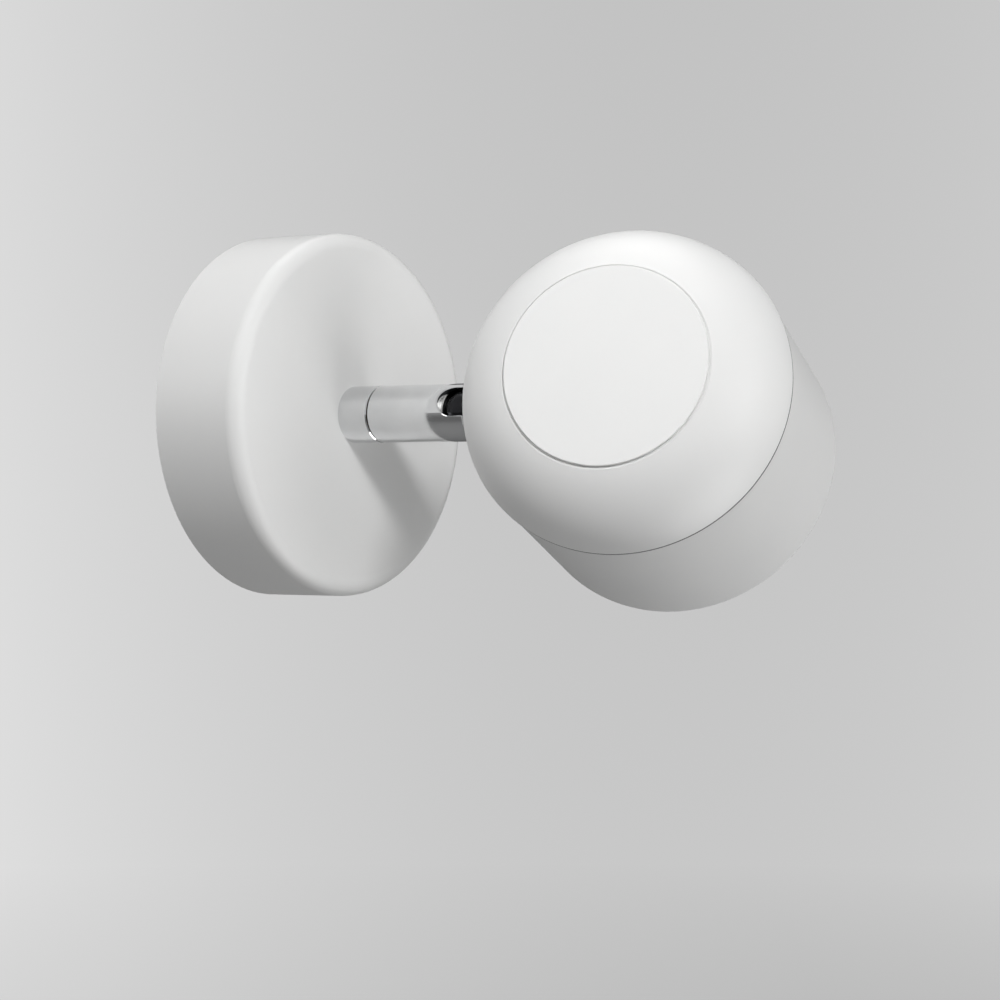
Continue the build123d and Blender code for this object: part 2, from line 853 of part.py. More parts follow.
wall_pieces = [
    canopy,
    canopy_screws,
    wall_bracket,
    bracket_ears,
    bracket_rivets,
    cable_grommet,
    terminal_block,
    terminal_tubes,
    terminal_screws,
    block_screws,
    earth_tag,
    earth_screw,
    nipple_washer,
    nipple_nut,
    base_leads,
    earth_lead,
]
arm_line_pieces = [
    arm_collar,
    swivel_nipple,
    thrust_washer,
    retaining_ring,
    arm_tube,
    tube_bush,
    friction_cup,
    disc_springs,
    spring_plug,
]
stud_pieces = [ball_stud, neck_washer, neck_nut]
head_pieces = [
    head_barrel,
    neck_boss,
    rear_dome,
    vent_cap,
    cap_nuts,
    dome_screw,
    lamp_bracket,
    bracket_screws,
    lamp_holder,
    holder_screws,
    lamp_body,
    lamp_lens,
    lamp_pins,
    front_baffle,
    head_leads,
]

os.makedirs("parts", exist_ok=True)
for plane, pieces in (
    (wall_plane, wall_pieces),
    (arm_plane, arm_line_pieces),
    (stud_plane, stud_pieces),
    (head_plane, head_pieces),
):
    for piece in pieces:
        save(piece.__name__, piece(), plane)
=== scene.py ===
import json
import math

import bmesh
import bpy
from mathutils import Matrix, Vector, kdtree

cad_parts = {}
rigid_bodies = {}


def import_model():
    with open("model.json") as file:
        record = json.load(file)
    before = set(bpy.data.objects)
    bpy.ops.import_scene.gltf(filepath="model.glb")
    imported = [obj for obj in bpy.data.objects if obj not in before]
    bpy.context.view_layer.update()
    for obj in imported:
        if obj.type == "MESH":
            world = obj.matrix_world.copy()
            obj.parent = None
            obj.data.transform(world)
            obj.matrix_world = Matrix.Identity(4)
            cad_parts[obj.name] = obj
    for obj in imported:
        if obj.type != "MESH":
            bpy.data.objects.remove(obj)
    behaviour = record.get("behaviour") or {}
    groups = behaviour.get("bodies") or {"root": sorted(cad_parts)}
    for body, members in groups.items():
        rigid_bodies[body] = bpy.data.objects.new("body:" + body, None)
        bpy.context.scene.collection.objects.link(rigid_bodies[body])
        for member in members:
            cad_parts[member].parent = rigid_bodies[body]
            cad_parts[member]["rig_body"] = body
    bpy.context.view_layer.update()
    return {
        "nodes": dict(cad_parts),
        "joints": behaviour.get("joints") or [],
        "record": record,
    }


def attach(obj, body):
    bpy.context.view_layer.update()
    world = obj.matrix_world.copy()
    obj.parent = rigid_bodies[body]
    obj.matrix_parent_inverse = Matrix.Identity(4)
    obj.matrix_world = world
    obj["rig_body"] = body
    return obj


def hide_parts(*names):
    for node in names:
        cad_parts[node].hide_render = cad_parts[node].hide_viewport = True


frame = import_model()
nodes = frame["nodes"]
joints = {joint["name"]: joint for joint in frame["joints"]}


# The lines that the light is built on: out of the wall, the tilt's axis, the neck and the head.
# The head's sizes go from the ball to the head's own line, along that line to the seam between
# dome and barrel, and round the neck.

wallOut = Vector((0, -1, 0))
upward = Vector((0, 0, 1))
ballCentre = Vector(joints["head_tilt"]["pos_m"])
tiltLine = Vector(joints["head_tilt"]["axis"]).normalized()
neckLine = Vector(joints["head_turn"]["axis"]).normalized()
headSet = {"ballToLine": 0.0557, "lineToSeam": 0.0372, "turnDegrees": 7.8}
crossLine = tiltLine.cross(neckLine)
turned = math.radians(headSet["turnDegrees"])
headLine = crossLine * math.cos(turned) + tiltLine * math.sin(turned)
headSide = headLine.cross(-neckLine)
seamCentre = ballCentre + neckLine * headSet["ballToLine"] + headLine * headSet["lineToSeam"]
lineOf = {"base": wallOut, "arm": wallOut, "stud": neckLine, "head": headLine}


def standing(origin, zLine, xLine):
    # the place of something drawn upright at its own origin
    z = zLine.normalized()
    y = z.cross(xLine).normalized()
    x = y.cross(z)
    place = Matrix((x, y, z)).transposed().to_4x4()
    place.translation = origin
    return place


# heights in the head count from the seam, up towards the vent cap
headPlace = standing(seamCentre, headLine, -neckLine)


# The camera, as the photograph was taken: its spot in metres, its turn in degrees, and its lens and
# sensor in millimetres

camera = {"spot": (-0.6886, -0.5829, -0.0235), "turn": (90.0, 0.0, -53.74), "lens": 115.36, "sensor": 36.0}


def placeCamera():
    data = bpy.data.cameras.new("photoCamera")
    data.sensor_width = camera["sensor"]
    data.lens = camera["lens"]
    seen = bpy.data.objects.new("photoCamera", data)
    seen.location = camera["spot"]
    seen.rotation_euler = [math.radians(angle) for angle in camera["turn"]]
    bpy.context.scene.collection.objects.link(seen)
    bpy.context.scene.camera = seen
    print("camera placed")


placeCamera()
facing = math.radians(camera["turn"][2])
pictureRight = Vector((math.cos(facing), math.sin(facing), 0))


# Small tools for the node trees. Lengths are in metres.

def put(tree, kind, sockets=None, **settings):
    # a node with its settings, and with values or other nodes' sockets in its sockets
    node = tree.nodes.new("ShaderNode" + kind)
    for name, value in settings.items():
        setattr(node, name, value)
    for name, value in (sockets or {}).items():
        if isinstance(value, bpy.types.NodeSocket):
            tree.links.new(value, node.inputs[name])
        else:
            node.inputs[name].default_value = value
    return node


def grain(tree, place, size, detail=2.0):
    # soft noise with blotches of about this size
    return put(tree, "TexNoise", {"Vector": place, "Scale": 1 / size, "Detail": detail}).outputs[0]


def spread(tree, value, low, high, fromLow=0.3, fromHigh=0.7):
    # a range of the value brought to low and high: the middle of a noise, unless the range is given
    ends = {"Value": value, "From Min": fromLow, "From Max": fromHigh, "To Min": low, "To Max": high}
    return put(tree, "MapRange", ends).outputs[0]


def tint(tree, share, first, second):
    # a colour between two, by a share from 0 to 1. Each is three numbers or another node's socket.
    ends = [look if isinstance(look, bpy.types.NodeSocket) else (*look, 1) for look in (first, second)]
    return put(tree, "Mix", {0: share, 6: ends[0], 7: ends[1]}, data_type="RGBA").outputs[2]


def between(tree, share, first, second):
    # a value between two, by a share from 0 to 1
    return put(tree, "Mix", {0: share, 2: first, 3: second}).outputs[0]


def relief(tree, height, depth, under=None):
    # raised and sunk places of about this depth, on top of what lies under them
    bump = put(tree, "Bump", {"Height": height, "Distance": depth})
    if under:
        tree.links.new(under, bump.inputs["Normal"])
    return bump.outputs[0]


def reckon(tree, way, first, second):
    # two values put together by this operation
    return put(tree, "Math", {0: first, 1: second}, operation=way).outputs[0]


def along(tree, place, line, origin=Vector()):
    # how far along a line a point lies
    away = put(tree, "VectorMath", {0: place, 1: tuple(origin)}, operation="SUBTRACT").outputs[0]
    return put(tree, "VectorMath", {0: away, 1: tuple(line)}, operation="DOT_PRODUCT").outputs["Value"]


def newFinish(name, metallic=0.0):
    # a finish, its nodes, its shader, and where a point lies on the light
    finish = bpy.data.materials.new(name)
    finish.use_nodes = True
    tree = finish.node_tree
    shader = tree.nodes["Principled BSDF"]
    shader.inputs["Metallic"].default_value = metallic
    return finish, tree, shader, put(tree, "TexCoord").outputs["Object"]


def wear(tree, shader, **looks):
    # joins each look to the shader's socket of that name
    for name, look in looks.items():
        tree.links.new(look, shader.inputs[name])


# Paints, plastics, rubber and ceramic: a faint cloud in the colour and gloss, a soft skin and a fine tooth

satinPaint = {"name": "satinWhitePaint", "colour": (0.835, 0.835, 0.828), "shade": (0.815, 0.817, 0.812),
              "cloud": 0.03, "rough": (0.39, 0.47), "skin": 0.0011, "skinDepth": 1.2e-5, "tooth": 0.00025,
              "toothDepth": 2e-6}
mattPaint = {"name": "mattWhitePaint", "colour": (0.81, 0.81, 0.80), "shade": (0.785, 0.787, 0.78),
             "cloud": 0.02, "rough": (0.58, 0.7), "skin": 0.0006, "skinDepth": 1.6e-5, "tooth": 0.00018,
             "toothDepth": 5e-6}
nylon = {"name": "mouldedNylon", "colour": (0.79, 0.78, 0.73), "shade": (0.74, 0.73, 0.67),
         "cloud": 0.004, "rough": (0.4, 0.52), "skin": 0.0008, "skinDepth": 8e-6, "tooth": 0.00012,
         "toothDepth": 3e-6}
rubber = {"name": "blackRubber", "colour": (0.028, 0.028, 0.029), "shade": (0.016, 0.016, 0.017),
          "cloud": 0.003, "rough": (0.6, 0.8), "skin": 0.0005, "skinDepth": 1.5e-5, "tooth": 0.0001,
          "toothDepth": 5e-6}
ceramic = {"name": "bisqueCeramic", "colour": (0.80, 0.78, 0.72), "shade": (0.70, 0.67, 0.60),
           "cloud": 0.0016, "rough": (0.5, 0.68), "skin": 0.0007, "skinDepth": 1.5e-5, "tooth": 0.00015,
           "toothDepth": 6e-6}
lampShell = {"name": "lampShell", "colour": (0.80, 0.80, 0.79), "shade": (0.77, 0.77, 0.755),
             "cloud": 0.01, "rough": (0.28, 0.38), "skin": 0.0012, "skinDepth": 8e-6, "tooth": 0.0002,
             "toothDepth": 1.5e-6}


def coated(look):
    finish, tree, shader, place = newFinish(look["name"])
    cloud = spread(tree, grain(tree, place, look["cloud"], detail=3), 0, 1)
    skin = relief(tree, grain(tree, place, look["skin"]), look["skinDepth"])
    wear(tree, shader, **{
        "Base Color": tint(tree, cloud, look["shade"], look["colour"]),
        "Roughness": spread(tree, cloud, *look["rough"], 0, 1),
        "Normal": relief(tree, grain(tree, place, look["tooth"]), look["toothDepth"], skin),
    })
    return finish


# Turned and plated metals: fine rings across the piece's own line, and a faint cloud.
# Near the arm's swivel the brass and steel are painted near-black: a painted shadow line in the swivel's
# gap.

chrome = {"name": "polishedChrome", "colour": (0.745, 0.75, 0.755), "shade": (0.71, 0.716, 0.722),
          "cloud": 0.006, "rough": (0.045, 0.085), "rings": 0.0006, "ringDepth": 1.5e-7}
blackNickel = {"name": "blackNickel", "colour": (0.036, 0.036, 0.039), "shade": (0.024, 0.024, 0.026),
               "cloud": 0.004, "rough": (0.1, 0.18), "rings": 0.0003, "ringDepth": 3e-7}
brightSteel = {"name": "brightSteel", "colour": (0.63, 0.63, 0.62), "shade": (0.53, 0.53, 0.52),
               "cloud": 0.003, "rough": (0.2, 0.34), "rings": 0.00012, "ringDepth": 1.5e-6}
brass = {"name": "turnedBrass", "colour": (0.74, 0.52, 0.23), "shade": (0.62, 0.41, 0.17),
         "cloud": 0.004, "rough": (0.2, 0.36), "rings": 0.00015, "ringDepth": 1.5e-6}
tinnedBrass = {"name": "tinnedBrass", "colour": (0.64, 0.64, 0.61), "shade": (0.55, 0.545, 0.51),
               "cloud": 0.0015, "rough": (0.3, 0.46), "rings": 0.0002, "ringDepth": 1e-6}
# painted shade: the near-black colour and roughness of the band that stands for the swivel gap's shadow
swivelShade = {"colour": (0.016, 0.014, 0.012), "rough": 0.5, "reach": 0.0028, "edge": 0.0008}


def turnedMetal(look, line, swivelShadeAt=None):
    # the last argument is how far along the line the swivel lies, if this metal is painted dark there as
    # the swivel gap's shadow
    finish, tree, shader, place = newFinish(look["name"], 1.0)
    far = along(tree, place, line)
    ringNoise = {"W": far, "Scale": 1 / look["rings"], "Detail": 3.0}
    rings = put(tree, "TexNoise", ringNoise, noise_dimensions="1D").outputs[0]
    cloud = spread(tree, grain(tree, place, look["cloud"], detail=3), 0, 1)
    colour = tint(tree, cloud, look["shade"], look["colour"])
    rough = spread(tree, rings, *look["rough"])
    # painted shadow of the swivel gap: near-black and not metallic within reach of the swivel, fading out
    # over the edge
    if swivelShadeAt is not None:
        away = reckon(tree, "ABSOLUTE", reckon(tree, "SUBTRACT", far, swivelShadeAt), 0.0)
        end = swivelShade["reach"]
        unshaded = spread(tree, away, 0.0, 1.0, end, end + swivelShade["edge"])
        colour = tint(tree, unshaded, swivelShade["colour"], colour)
        rough = between(tree, unshaded, swivelShade["rough"], rough)
        wear(tree, shader, Metallic=unshaded)
    wear(tree, shader, **{
        "Base Color": colour,
        "Roughness": rough,
        "Normal": relief(tree, rings, look["ringDepth"]),
    })
    return finish


# Zinc plate: flat crystals of slightly different greys, with a dull bloom

zinc = {"colour": (0.60, 0.61, 0.62), "shade": (0.47, 0.48, 0.50), "crystal": 0.0022, "bloom": 0.008,
        "rough": (0.32, 0.5), "tooth": 0.00018, "toothDepth": 1.5e-6}


def zincPlate():
    finish, tree, shader, place = newFinish("zincPlate", 1.0)
    crystals = put(tree, "TexVoronoi", {"Vector": place, "Scale": 1 / zinc["crystal"]})
    pick = put(tree, "RGBToBW", {0: crystals.outputs["Color"]}).outputs[0]
    bloom = spread(tree, grain(tree, place, zinc["bloom"], detail=4), 0, 1)
    wear(tree, shader, **{
        "Base Color": tint(tree, reckon(tree, "MULTIPLY", pick, bloom), zinc["colour"], zinc["shade"]),
        "Roughness": spread(tree, bloom, *zinc["rough"], 0, 1),
        "Normal": relief(tree, grain(tree, place, zinc["tooth"]), zinc["toothDepth"]),
    })
    return finish


# Lead sleeves: the live lead is brown and the neutral one blue, and the earth lead has two stripes

leads = {"brown": (0.16, 0.065, 0.03), "blue": (0.03, 0.10, 0.36), "green": (0.03, 0.22, 0.05),
         "yellow": (0.72, 0.58, 0.05), "rough": (0.38, 0.5), "cloud": 0.004, "tooth": 0.0003,
         "toothDepth": 4e-6, "stripe": 0.2}


def sleeve(name, pick, first, second):
    # pick is a function that gives the first colour's part of the sleeve, from 0 to 1
    finish, tree, shader, place = newFinish(name)
    cloud = grain(tree, place, leads["cloud"])
    wear(tree, shader, **{
        "Base Color": tint(tree, pick(tree, place), leads[second], leads[first]),
        "Roughness": spread(tree, cloud, *leads["rough"]),
        "Normal": relief(tree, grain(tree, place, leads["tooth"]), leads["toothDepth"]),
    })
    return finish


def besideOf(line, origin):
    # one lead lies on this side of the origin, the other on the far side
    def pick(tree, place):
        return reckon(tree, "GREATER_THAN", along(tree, place, line, origin), 0.0)
    return pick


def facingOut(tree, place):
    # the stripe that faces away from the wall
    turnedOut = along(tree, put(tree, "TexCoord").outputs["Normal"], wallOut)
    return reckon(tree, "GREATER_THAN", turnedOut, leads["stripe"])


# The lamp's lens: clear plastic with a fine frosting

lens = {"colour": (0.96, 0.965, 0.955), "rough": (0.1, 0.18), "frost": 0.0004, "frostDepth": 6e-6,
        "ior": 1.49}


def clearLens():
    finish, tree, shader, place = newFinish("frostedLens")
    shader.inputs["Base Color"].default_value = (*lens["colour"], 1)
    shader.inputs["Transmission Weight"].default_value = 1.0
    shader.inputs["IOR"].default_value = lens["ior"]
    frost = grain(tree, place, lens["frost"])
    wear(tree, shader, **{
        "Roughness": spread(tree, frost, *lens["rough"]),
        "Normal": relief(tree, frost, lens["frostDepth"]),
    })
    return finish


# Each node takes the finish of its slot, with turned rings across its own body's line

coats = {"white_paint": satinPaint, "baffle_paint": mattPaint, "white_plastic": nylon,
         "black_rubber": rubber, "ceramic": ceramic, "lamp_shell": lampShell}
metals = {"chrome": chrome, "black_nickel": blackNickel, "bright_steel": brightSteel, "brass": brass,
          "tinned_brass": tinnedBrass}
# the brass and steel of the wall plate and the arm get the swivel gap's painted shadow
swivelShadeSlots = ("brass", "bright_steel")
swivelShadeBodies = ("base", "arm")
made = {}
swivelReach = Vector(joints["arm_swivel"]["pos_m"]).dot(wallOut)


def finishOf(slot, body):
    key = (slot, body) if slot in metals else slot
    if key not in made:
        if slot in coats:
            made[key] = coated(coats[slot])
        elif slot in metals:
            swivelShadeAt = swivelReach if slot in swivelShadeSlots and body in swivelShadeBodies else None
            made[key] = turnedMetal(metals[slot], lineOf[body], swivelShadeAt)
        else:
            made[key] = zincPlate() if slot == "zinc_steel" else clearLens()
    return made[key]


sleeves = {
    "base_leads": sleeve("blockLeads", besideOf(upward, Vector()), "brown", "blue"),
    "head_leads": sleeve("lampLeads", besideOf(headSide, seamCentre), "brown", "blue"),
    "earth_lead": sleeve("earthLead", facingOut, "yellow", "green"),
}
slotOf = {part["node"]: part["material_slot"] for part in frame["record"]["subparts"]}
for name, node in nodes.items():
    finish = sleeves[name] if name in sleeves else finishOf(slotOf[name], node["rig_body"])
    for place in node.material_slots:
        place.material = finish
print("finishes on the nodes:", len(made) + len(sleeves))


# Pieces with more shape than the plain nodes, made from meshes of their own

sharpEdge = math.radians(38)  # edges that turn by more stay crisp


def ringOf(radius, height, steps):
    # points evenly round the axis, at one height
    angles = [2 * math.pi * step / steps for step in range(steps)]
    return [(radius * math.cos(angle), radius * math.sin(angle), height) for angle in angles]


def bandsOf(rows, steps, closed=False):
    # the faces between rings that lie one after another, and back to the first ring if closed
    faces = []
    for row in range(rows if closed else rows - 1):
        here = row * steps
        beyond = (row + 1) % rows * steps
        for step in range(steps):
            after = (step + 1) % steps
            faces.append((here + step, here + after, beyond + after, beyond + step))
    return faces


def endsOf(rows, steps):
    # the flat faces inside the first and the last ring
    return [tuple(range(steps)), tuple(range((rows - 1) * steps, rows * steps))]


def bodyMesh(name, corners, faces, smooth=True):
    mesh = bpy.data.meshes.new(name)
    mesh.from_pydata(corners, [], faces)
    mesh.validate()
    tidy = bmesh.new()
    tidy.from_mesh(mesh)
    bmesh.ops.recalc_face_normals(tidy, faces=tidy.faces)
    tidy.to_mesh(mesh)
    tidy.free()
    if smooth:
        mesh.shade_smooth()
        mesh.set_sharp_from_angle(angle=sharpEdge)
    return mesh


def addPiece(name, mesh, finish, body, instead=None):
    mesh.materials.clear()
    mesh.materials.append(finish)
    piece = bpy.data.objects.new(name, mesh)
    bpy.context.scene.collection.objects.link(piece)
    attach(piece, body)
    if instead:
        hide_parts(instead)


def cutAway(mesh, cutters):
    # the mesh with each cutter's form taken out of it
    held = bpy.data.objects.new(mesh.name + "Held", mesh)
    bpy.context.scene.collection.objects.link(held)
    tools = []
    for cutter in cutters:
        tool = bpy.data.objects.new(cutter.name + "Tool", cutter)
        bpy.context.scene.collection.objects.link(tool)
        tools.append(tool)
        cut = held.modifiers.new("cut", "BOOLEAN")
        cut.operation = "DIFFERENCE"
        cut.solver = "EXACT"
        cut.object = tool
    whole = held.evaluated_get(bpy.context.evaluated_depsgraph_get())
    result = bpy.data.meshes.new_from_object(whole)
    for spare in [held] + tools:
        bpy.data.objects.remove(spare)
    result.set_sharp_from_angle(angle=sharpEdge)
    return result


def atPlaces(name, mesh, places):
    # one mesh with a copy of the form at each place
    joined = bmesh.new()
    for place in places:
        copy = mesh.copy()
        copy.transform(place)
        joined.from_mesh(copy)
        bpy.data.meshes.remove(copy)
    result = mesh.copy()
    result.name = name
    joined.to_mesh(result)
    joined.free()
    result.set_sharp_from_angle(angle=sharpEdge)
    return result


# Screws: each takes its place and size from the CAD node, with a rolled thread and a driven head.
# The canopy's two screws go in from above and from below, and all others along their body's line.

screwKinds = {
    "canopy_screws": {"pitch": 0.0007, "head": "sunk", "drive": "cross", "line": upward, "bothWays": True},
    "dome_screw": {"pitch": 0.0007, "head": "pan", "drive": "cross"},
    "holder_screws": {"pitch": 0.0006, "head": "pan", "drive": "cross"},
    "bracket_screws": {"pitch": 0.0006, "head": "pan", "drive": "cross"},
    "earth_screw": {"pitch": 0.0007, "head": "pan", "drive": "cross"},
    "block_screws": {"pitch": 0.0005, "head": "pan", "drive": "cross"},
    "terminal_screws": {"pitch": 0.0006, "head": "flat", "drive": "slot"},
}
screwSet = {"steps": 36, "rowsPerTurn": 8, "leastRows": 4, "plainNeck": 0.0003}
threadSet = {"depth": 0.17, "tipTaper": 0.0006, "tipDepth": 0.25}  # both depths in shank radii
# lineShare is what a distance along the screw counts for, and shankShare the lowest part of a screw,
# which is all shank
nodeSearch = {"reach": 0.0025, "lineShare": 0.2, "shankShare": 0.3}
# edge is the straight part of the head's rise, and crown is how far the curve above it draws in
headShapes = {"pan": {"edge": 0.45, "crown": 1.3}, "flat": {"edge": 0.86, "crown": 1.0}}
crownSteps = 6
sunkRim = [(0.0, 0.00012), (0.00008, 0.00003), (0.0003, 0.0)]  # how far in from the edge and below the top
# the slot's length and the cross's sizes are in head radii. foot and mouth are what the drive's room
# measures there, as shares of its length and width.
driveSet = {"deepest": 0.0011, "riseShare": 0.55, "slotLength": 2.6, "slotWidth": 0.0006,
            "crossLength": 1.15, "crossWidth": 0.3, "foot": 0.82, "mouth": 1.06, "above": 0.001}


def groupsOf(points, line):
    # the points in groups, where each point is within reach of another one of its group.
    # Along the line, distances count for less, as a shank has corners at its ends only.
    ignored = 1 - nodeSearch["lineShare"]
    squashed = [point - line * (point.dot(line) * ignored) for point in points]
    tree = kdtree.KDTree(len(points))
    for index, point in enumerate(squashed):
        tree.insert(point, index)
    tree.balance()
    left = set(range(len(points)))
    groups = []
    while left:
        start = min(left)
        left.discard(start)
        group = []
        queue = [start]
        while queue:
            index = queue.pop()
            group.append(points[index])
            for _, near, _ in tree.find_range(squashed[index], nodeSearch["reach"]):
                if near in left:
                    left.discard(near)
                    queue.append(near)
        groups.append(group)
    return groups


def screwPlace(group, line, sideLine):
    # where a screw stands, with its head up along the line
    level = standing(Vector(), line, sideLine)
    own = [level.inverted() @ point for point in group]
    middle = (Vector(map(min, zip(*own))) + Vector(map(max, zip(*own)))) / 2
    return standing(level @ middle, line, sideLine)


def screwSize(group, place):
    # how far a screw reaches and how wide it is, in the place's own frame, where its head is up
    inside = place.inverted()
    own = [inside @ point for point in group]
    top = max(point.z for point in own)
    tip = min(point.z for point in own)
    reach = [(math.hypot(point.x, point.y), point.z) for point in own]
    head = max(radius for radius, _ in reach)
    shankTop = tip + (top - tip) * nodeSearch["shankShare"]
    shank = max(radius for radius, height in reach if height < shankTop)
    seat = min(height for radius, height in reach if radius > (head + shank) / 2)
    return {"head": head, "shank": shank, "top": top, "seat": seat, "tip": tip}


def headOutline(size, shape):
    # from the shank up and over the head
    head, shank, seat, top = size["head"], size["shank"], size["seat"], size["top"]
    if shape == "sunk":
        low = top - (head - shank)
        return [(shank, low)] + [(head - inward, top - below) for inward, below in sunkRim]
    rise = top - seat
    edge = headShapes[shape]["edge"]
    outline = [(shank, seat), (head, seat), (head, seat + rise * edge)]
    inset = rise * (1 - edge)
    for step in range(1, crownSteps + 1):
        angle = math.pi / 2 * step / crownSteps
        wide = head - inset * (1 - math.cos(angle)) * headShapes[shape]["crown"]
        outline.append((wide, top - inset + inset * math.sin(angle)))
    return outline


def threadRows(size, pitch, neck):
    # rings up the shank, each wider and narrower by turns, so that the ridge climbs as a helix
    steps = screwSet["steps"]
    shank, tip = size["shank"], size["tip"]
    count = max(screwSet["leastRows"], round((neck - tip) / pitch * screwSet["rowsPerTurn"]))
    corners = []
    for row in range(count + 1):
        height = tip + (neck - tip) * row / count
        taper = max(0.0, 1 - (height - tip) / threadSet["tipTaper"]) * threadSet["tipDepth"] * shank
        runout = min(1.0, (neck - height) / pitch)
        for step in range(steps):
            turn = step / steps
            wave = abs(2 * ((height / pitch - turn) % 1) - 1)
            radius = shank * (1 - threadSet["depth"] * wave * runout) - taper
            angle = 2 * math.pi * turn
            corners.append((radius * math.cos(angle), radius * math.sin(angle), height))
    return corners


def drivePrism(name, length, width, top, deep):
    # a slot's room, a little narrower at its foot
    corners = []
    for height, part in ((top - deep, driveSet["foot"]), (top + driveSet["above"], driveSet["mouth"])):
        x = length / 2 * part
        y = width / 2 * part
        corners += [(-x, -y, height), (x, -y, height), (x, y, height), (-x, y, height)]
    faces = [(0, 3, 2, 1), (4, 5, 6, 7), (0, 1, 5, 4), (1, 2, 6, 5), (2, 3, 7, 6), (3, 0, 4, 7)]
    return bodyMesh(name, corners, faces, False)


def driveRooms(drive, head, top, deep):
    if drive == "slot":
        return [drivePrism("slot", head * driveSet["slotLength"], driveSet["slotWidth"], top, deep)]
    long, wide = head * driveSet["crossLength"], head * driveSet["crossWidth"]
    return [drivePrism("crossA", long, wide, top, deep), drivePrism("crossB", wide, long, top, deep)]


def screwMesh(name, size, kind):
    steps = screwSet["steps"]
    outline = headOutline(size, kind["head"])
    headFoot = outline[0][1]
    corners = threadRows(size, kind["pitch"], headFoot - screwSet["plainNeck"])
    for radius, height in outline:
        corners += ringOf(radius, height, steps)
    rows = len(corners) // steps
    form = bodyMesh(name, corners, endsOf(rows, steps) + bandsOf(rows, steps))
    deep = min(driveSet["deepest"], (size["top"] - headFoot) * driveSet["riseShare"])
    return cutAway(form, driveRooms(kind["drive"], size["head"], size["top"], deep))


def makeScrews():
    for name, kind in screwKinds.items():
        node = nodes[name]
        body = node["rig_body"]
        line = kind.get("line", lineOf[body])
        sideLine = Vector((1, 0, 0)) if body == "base" else -neckLine
        groups = groupsOf([corner.co.copy() for corner in node.data.vertices], line)
        places = []
        for group in groups:
            way = line * math.copysign(1, group[0].dot(line)) if kind.get("bothWays") else line
            places.append(screwPlace(group, way, sideLine))
        form = screwMesh(name + "Form", screwSize(groups[-1], places[-1]), kind)
        mesh = atPlaces(name + "Mesh", form, places)
        addPiece(name + ".threaded", mesh, finishOf(slotOf[name], body), body, name)
        print(name, "threaded:", len(places))
    print("screws made:", len(screwKinds))


# The lamp's lens: small round lenses side by side inside a plain rim

lensSet = {"radius": 0.0227, "clearRim": 0.0212, "front": -0.04605, "rimFront": -0.04635, "back": -0.0456,
           "pitch": 0.0024, "bulge": 0.00055, "ring": 0.00045}


def hexFar(x, y, pitch):
    # how far the point is from the nearest middle of a hexagonal grid
    rowRise = pitch * math.sqrt(3) / 2
    best = pitch
    row = round(y / rowRise)
    for near in (row - 1, row, row + 1):
        shift = pitch / 2 if near % 2 else 0.0
        column = round((x - shift) / pitch)
        away = math.hypot(x - shift - column * pitch, y - near * rowRise)
        best = min(best, away)
    return best


def lensFront(x, y):
    # how high the front lies at a point: raised over each small lens, and flat on the rim
    if math.hypot(x, y) >= lensSet["clearRim"]:
        return lensSet["rimFront"]
    share = hexFar(x, y, lensSet["pitch"]) / (lensSet["pitch"] / math.sqrt(3))
    return lensSet["front"] - lensSet["bulge"] * (1 - share * share)


def discOf(radius, rings, sides=6):
    # a flat disc of small triangles, and its outermost ring. Each ring has one point more on each
    # side than the ring within it.
    corners = [(0.0, 0.0)]
    starts = [0]
    for ring in range(1, rings + 1):
        starts.append(len(corners))
        corners += [point[:2] for point in ringOf(radius * ring / rings, 0.0, sides * ring)]
    faces = []
    for ring in range(1, rings + 1):
        outer, inner = starts[ring], starts[ring - 1]
        outerCount = sides * ring
        innerCount = max(1, sides * (ring - 1))
        for side in range(sides):
            for step in range(ring):
                outerHere = side * ring + step
                innerHere = side * (ring - 1) + step
                here = outer + outerHere % outerCount
                after = outer + (outerHere + 1) % outerCount
                within = inner + innerHere % innerCount
                faces.append((here, after, within))
                if step < ring - 1:
                    faces.append((after, inner + (innerHere + 1) % innerCount, within))
    return corners, faces, range(starts[-1], len(corners))


def makeLens():
    flat, faces, edge = discOf(lensSet["radius"], round(lensSet["radius"] / lensSet["ring"]))
    corners = [(x, y, lensFront(x, y)) for x, y in flat]
    back = len(corners)
    corners += [(*flat[index], lensSet["back"]) for index in edge]
    around = len(edge)
    for step in range(around):
        after = (step + 1) % around
        faces.append((edge[step], edge[after], back + after, back + step))
    faces.append(tuple(range(back, back + around)))
    mesh = bodyMesh("lensMesh", corners, faces)
    mesh.transform(headPlace)
    addPiece("lampLens", mesh, finishOf("lens", "head"), "head", "lamp_lens")
    print("lens made")


# The board behind the lens, with one chip in its middle and a ring of chips round it

boardSet = {"radius": 0.0225, "back": -0.04485, "front": -0.04505, "edge": 0.00005, "steps": 96}
chipSet = {"half": 0.0015, "rise": 0.0003, "round": 0.3, "roundSteps": 4, "sunk": 0.00001,
           "ringRadius": 0.0115, "ringCount": 6}
solderMask = {"name": "solderMask", "colour": (0.80, 0.81, 0.80), "shade": (0.76, 0.775, 0.76),
              "cloud": 0.003, "rough": (0.3, 0.4), "skin": 0.0006, "skinDepth": 5e-6, "tooth": 0.0001,
              "toothDepth": 1e-6}
phosphor = {"name": "yellowPhosphor", "colour": (0.80, 0.63, 0.10), "shade": (0.70, 0.52, 0.06),
            "cloud": 0.0004, "rough": (0.45, 0.6), "skin": 0.0002, "skinDepth": 6e-6, "tooth": 0.00005,
            "toothDepth": 2e-6}


